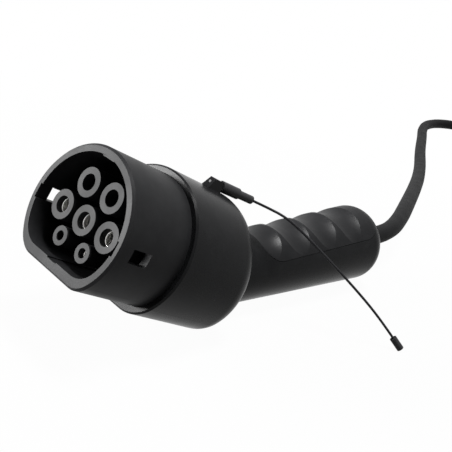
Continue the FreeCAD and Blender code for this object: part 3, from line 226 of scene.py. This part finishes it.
# Each material slot: the function of its look, its colour and roughness, and a moulded one's grain and depth.
SLOTS = {
    "shell_plastic": (moulded_plastic, SHELL, 0.25, 0.35 * MM, 0.012 * MM),
    "nose_plastic": (moulded_plastic, NOSE, 0.40, 0.5 * MM, 0.03 * MM),
    "carrier_plastic": (moulded_plastic, CARRIER, 0.42, 0.5 * MM, 0.03 * MM),
    "grip_rubber": (moulded_plastic, GRIP, 0.38, 0.45 * MM, 0.025 * MM),
    "seal_rubber": (moulded_plastic, (0.018, 0.018, 0.019), 0.55, 0.4 * MM, 0.02 * MM),
    "contact_metal": (plated_metal, (0.92, 0.91, 0.89), 0.2),
    "screw_steel": (plated_metal, (0.55, 0.55, 0.56), 0.35),
    "cable_jacket": (extruded_jacket, (0.004, 0.0041, 0.0043), 0.62),
    "earth_insulation": (extruded_jacket, (0.35, 0.55, 0.06), 0.35),
    "neutral_insulation": (extruded_jacket, (0.03, 0.12, 0.5), 0.35),
    "line_insulation": (extruded_jacket, (0.2, 0.09, 0.04), 0.35),
    "pilot_insulation": (extruded_jacket, (0.03, 0.03, 0.03), 0.35),
    "resistor_body": (extruded_jacket, (0.2, 0.35, 0.5), 0.3),
    "tether_jacket": (extruded_jacket, (0.012, 0.012, 0.013), 0.34),
    "ferrule_sleeve": (extruded_jacket, (0.020, 0.020, 0.021), 0.26),
    "plug_plastic": (moulded_plastic, SHELL, 0.4, 0.4 * MM, 0.02 * MM),
    "insert_plastic": (moulded_plastic, (0.3, 0.3, 0.3), 0.4, 0.4 * MM, 0.012 * MM),
    "tie_fabric": (woven_strap, (0.02, 0.02, 0.022), 0.8),
}
looks = {name: make(name, *values) for name, (make, *values) in SLOTS.items()}


def dress_nodes():
    """Every node of the frame takes the look of its material slot."""
    for part in frame["record"]["subparts"]:
        mesh = nodes[part["node"]].data
        mesh.materials.clear()
        mesh.materials.append(looks[part["material_slot"]])


# Contact lips: the rolled front edge of each socket, set at the socket's mouth.
LIP_WIDTH = 0.5 * MM
LIP_REACH = 0.1 * MM
LIP_SEGMENTS = 64
LIP_SIDES = 12


def make_lips():
    """A ring of round section on the front edge of each socket that a pin enters."""
    for mount in frame["record"]["mounts"]:
        if not mount["name"].endswith("_socket"):
            continue
        axis = Vector(mount["axis"])
        bpy.ops.mesh.primitive_torus_add(
            location=Vector(mount["pos_m"]) + axis * LIP_REACH,
            rotation=axis.to_track_quat("Z", "Y").to_euler(),
            major_radius=mount["dims"]["r_mm"] * MM + LIP_WIDTH / 4,
            minor_radius=LIP_WIDTH / 2,
            major_segments=LIP_SEGMENTS,
            minor_segments=LIP_SIDES,
        )
        lip = bpy.context.object
        lip.name = mount["name"].replace("socket", "lip")
        for face in lip.data.polygons:
            face.use_smooth = True
        lip.data.materials.append(looks["contact_metal"])
        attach(lip, "root")


# Cords: the cable with its coil, and the tether's rope. Places and runs of the cable are in millimetres from
# where it leaves the boot, heights are from the floor, and angles are in degrees.
CABLE_WIDTH = 11 * MM
EXIT = Vector((0, 112.356, 22.173)) * MM
EXIT_AHEAD = Vector((0, 0.99961, 0.02779))
LEAD_START = 14.0
LEAD_POINTS = [
    (-3.4, 30.5, 23.6),
    (-11.0, 49.0, 24.4),
    (-21.0, 69.0, 24.0),
    (-37.0, 100.0, 21.8),
    (-60.0, 144.0, 17.8),
    (-88.0, 196.0, 13.0),
    (-119.0, 249.0, 9.0),
    (-159.0, 311.0, 7.0),
    (-199.0, 377.0, 6.2),
    (-226.0, 419.0, 6.0),
    (-243.0, 455.0, 6.1),
    (-247.0, 495.0, 6.2),
    (-232.0, 533.0, 6.3),
    (-199.0, 557.5, 6.6),
]
COIL_SPOT = (-95.0, 500.0)
COIL_FLOOR = 7.1
COIL_COLUMNS = 5
OUTER_TURN = 88.0
TURN_PITCH = 11.0
ENTRY_ANGLE = 110.0
LEAVE_ANGLE = 20.0
ENTRY_RUN = 38.0
LEAVE_RUN = 26.0
DROP_RUN = 50.0
PLUG_RUN = 14.0
PLUG_SPOT = (15.0, 450.5, 14.0)
PLUG_ANGLE = -74.0
CABLE_RINGS = 6
CABLE_SIDES = 5


def from_exit(x, y, z):
    """x and y from where the cable leaves the boot and z from the floor, in millimetres."""
    return Vector((EXIT.x + x * MM, EXIT.y + y * MM, z * MM))


def on_coil(angle, radius, height, ahead=0.0):
    """A point of the coil, or ahead of it on the tangent in the way that the turns run."""
    turn = math.radians(angle)
    return from_exit(
        COIL_SPOT[0] + radius * math.cos(turn) + ahead * math.sin(turn),
        COIL_SPOT[1] + radius * math.sin(turn) - ahead * math.cos(turn),
        height,
    )


# Where in a turn, as a share of it, the cable steps inwards on the low layer, climbs, and steps outwards.
POINTS_PER_TURN = 16
LOW_SHIFT = 0.75
CLIMB = 0.5
HIGH_SHIFT = 0.25
SHIFT_SPAN = 0.25


def ease(share):
    """Zero to one with a soft start and end."""
    share = min(1.0, max(0.0, share))
    return share * share * (3 - 2 * share)


def coil_turns():
    """The turns: in over the low layer, up at the innermost turn, and out over the high layer."""
    whole = 2 * COIL_COLUMNS - 1 + (ENTRY_ANGLE - LEAVE_ANGLE) / 360
    widening = 1 / math.cos(math.pi / POINTS_PER_TURN)
    steps = round(whole * POINTS_PER_TURN)
    points = []
    for step in range(1, steps):
        turns = whole * step / steps
        radius = OUTER_TURN
        for column in range(COIL_COLUMNS - 1):
            radius -= TURN_PITCH * ease((turns - column - LOW_SHIFT) / SHIFT_SPAN)
            radius += TURN_PITCH * ease((turns - COIL_COLUMNS - column - HIGH_SHIFT) / SHIFT_SPAN)
        height = COIL_FLOOR + TURN_PITCH * ease((turns - COIL_COLUMNS + 1 - CLIMB) / SHIFT_SPAN)
        points.append(on_coil(ENTRY_ANGLE - 360 * turns, radius * widening, height))
    return points


def cable_route():
    """The control points from the boot over the floor, round the coil and on to the plug."""
    plug_spot = from_exit(*PLUG_SPOT)
    turn = math.radians(PLUG_ANGLE)
    plug_way = Vector((math.cos(turn), math.sin(turn), 0))
    top = COIL_FLOOR + TURN_PITCH
    route = [EXIT, EXIT + EXIT_AHEAD * LEAD_START * MM]
    route += [from_exit(*point) for point in LEAD_POINTS]
    route += [
        on_coil(ENTRY_ANGLE, OUTER_TURN, COIL_FLOOR, -ENTRY_RUN),
        on_coil(ENTRY_ANGLE, OUTER_TURN, COIL_FLOOR),
    ]
    route += coil_turns()
    route += [
        on_coil(LEAVE_ANGLE, OUTER_TURN, top),
        on_coil(LEAVE_ANGLE, OUTER_TURN, top, LEAVE_RUN),
        on_coil(LEAVE_ANGLE, OUTER_TURN, (top + PLUG_SPOT[2]) / 2, DROP_RUN),
        plug_spot - plug_way * PLUG_RUN * MM,
        plug_spot,
    ]
    return route


def smooth_curve(name, route, width, rings, sides):
    """One NURBS curve of this width whose control points are the route's."""
    data = bpy.data.curves.new(name, "CURVE")
    data.dimensions = "3D"
    spline = data.splines.new("NURBS")
    spline.points.add(len(route) - 1)
    for point, spot in zip(spline.points, route):
        point.co = (*spot, 1.0)
    spline.order_u = 3
    spline.use_endpoint_u = True
    spline.resolution_u = rings
    data.bevel_depth = width / 2
    data.bevel_resolution = sides
    data.use_fill_caps = True
    piece = bpy.data.objects.new(name, data)
    bpy.context.scene.collection.objects.link(piece)
    return piece


def make_cable():
    cable = smooth_curve("cable", cable_route(), CABLE_WIDTH, CABLE_RINGS, CABLE_SIDES)
    cable.data.materials.append(looks["cable_jacket"])
    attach(cable, "root")
    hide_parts("cable_lead", "cable_coil", "cable_end")


# The rope's points are in millimetres from its start.
ROPE_WIDTH = 1.3 * MM
ROPE_START = Vector((3.819, -7.572, 57.714)) * MM
ROPE_AHEAD = Vector((0.18722, 0.92561, -0.32894))
ROPE_RUN = 8.0
ROPE_POINTS = [
    (13.0, 16.4, -5.6),
    (28.4, 27.0, -16.6),
    (45.0, 41.2, -31.0),
    (57.0, 51.6, -42.6),
    (65.1, 58.1, -51.7),
]
ROPE_RINGS = 8
ROPE_SIDES = 3


def make_rope():
    route = [ROPE_START, ROPE_START + ROPE_AHEAD * ROPE_RUN * MM]
    route += [ROPE_START + Vector(point) * MM for point in ROPE_POINTS]
    rope = smooth_curve("rope", route, ROPE_WIDTH, ROPE_RINGS, ROPE_SIDES)
    rope.data.materials.append(looks["tether_jacket"])
    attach(rope, "root")
    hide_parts("tether_rope")


# Stage: a pale floor that is white far from the object, soft lamps, and a white world behind.
WHITE = (1, 1, 1, 1)
FLOOR_RADIUS = 4.0
FLOOR_SIDES = 96
FLOOR_COLOUR = (0.20, 0.20, 0.20)
FLOOR_ROUGHNESS = 0.9
FLOOR_GLOSS = 0.1
SHADED_RADIUS = 0.1
WHITE_RADIUS = 0.4
SHADED_SHARE = 0.97


def seen_directly(tree):
    """One for rays from the camera, from gloss or through glass, and zero where a surface sheds light."""
    light_path = tree.nodes.new("ShaderNodeLightPath")
    mirrored = tree.nodes.new("ShaderNodeMath")
    mirrored.operation = "ADD"
    tree.links.new(light_path.outputs["Is Glossy Ray"], mirrored.inputs[0])
    tree.links.new(light_path.outputs["Is Transmission Ray"], mirrored.inputs[1])
    seen = tree.nodes.new("ShaderNodeMath")
    seen.operation = "ADD"
    seen.use_clamp = True
    tree.links.new(light_path.outputs["Is Camera Ray"], seen.inputs[0])
    tree.links.new(mirrored.outputs["Value"], seen.inputs[1])
    return seen.outputs["Value"]


def make_floor():
    """A floor that keeps a trace of the object's shade and turns white away from it."""
    bpy.ops.mesh.primitive_circle_add(vertices=FLOOR_SIDES, radius=FLOOR_RADIUS, fill_type="NGON")
    floor = bpy.context.object
    floor.name = "floor"
    tree = Tree("floor", FLOOR_COLOUR, FLOOR_ROUGHNESS)
    tree.set("Specular IOR Level", FLOOR_GLOSS)
    seen = seen_directly(tree.material.node_tree)
    length = tree.add("ShaderNodeVectorMath", operation="LENGTH")
    tree.join(tree.place, length.inputs[0])
    far = tree.span(length.outputs["Value"], SHADED_RADIUS, WHITE_RADIUS, SHADED_SHARE, 1.0)
    share = tree.add("ShaderNodeMath", operation="MULTIPLY")
    tree.join(seen, share.inputs[0])
    tree.join(far, share.inputs[1])
    white = tree.add("ShaderNodeEmission")
    white.inputs["Color"].default_value = WHITE
    blend = tree.add("ShaderNodeMixShader")
    tree.join(share.outputs["Value"], blend.inputs["Fac"])
    tree.join(tree.shader.outputs["BSDF"], blend.inputs[1])
    tree.join(white.outputs["Emission"], blend.inputs[2])
    tree.join(blend.outputs["Shader"], tree.nodes["Material Output"].inputs["Surface"])
    floor.data.materials.append(tree.material)


AROUND = 0.08


def make_world():
    """White behind the object and in its gloss, and a dimmer light on it from all sides."""
    world = bpy.data.worlds.new("world")
    bpy.context.scene.world = world
    world.use_nodes = True
    tree = world.node_tree
    strength = tree.nodes.new("ShaderNodeMapRange")
    strength.inputs["To Min"].default_value = AROUND
    strength.inputs["To Max"].default_value = 1.0
    tree.links.new(seen_directly(tree), strength.inputs["Value"])
    background = tree.nodes["Background"]
    background.inputs["Color"].default_value = WHITE
    tree.links.new(strength.outputs["Result"], background.inputs["Strength"])


LIT_PLACE = (0.0, -0.05, 0.05)


def lamp(name, place, width, watts):
    """A round soft lamp at place, turned to the connector."""
    data = bpy.data.lights.new(name, "AREA")
    data.shape = "DISK"
    data.size = width
    data.energy = watts
    piece = bpy.data.objects.new(name, data)
    place = Vector(place)
    piece.location = place
    piece.rotation_euler = (Vector(LIT_PLACE) - place).to_track_quat("-Z", "Y").to_euler()
    bpy.context.scene.collection.objects.link(piece)


def make_lamps():
    """A soft lamp in front of the mouth, one high above the head, and a weak one at the side."""
    lamp("mouth", (-0.56, -0.78, 0.30), 0.5, 34.0)
    lamp("above", (0.08, 0.12, 1.05), 0.3, 30.0)
    lamp("side", (1.0, -0.25, 0.7), 0.6, 1.5)


make_camera()
dress_nodes()
make_lips()
make_cable()
make_rope()
make_floor()
make_world()
make_lamps()
bpy.context.scene.view_settings.view_transform = "Standard"
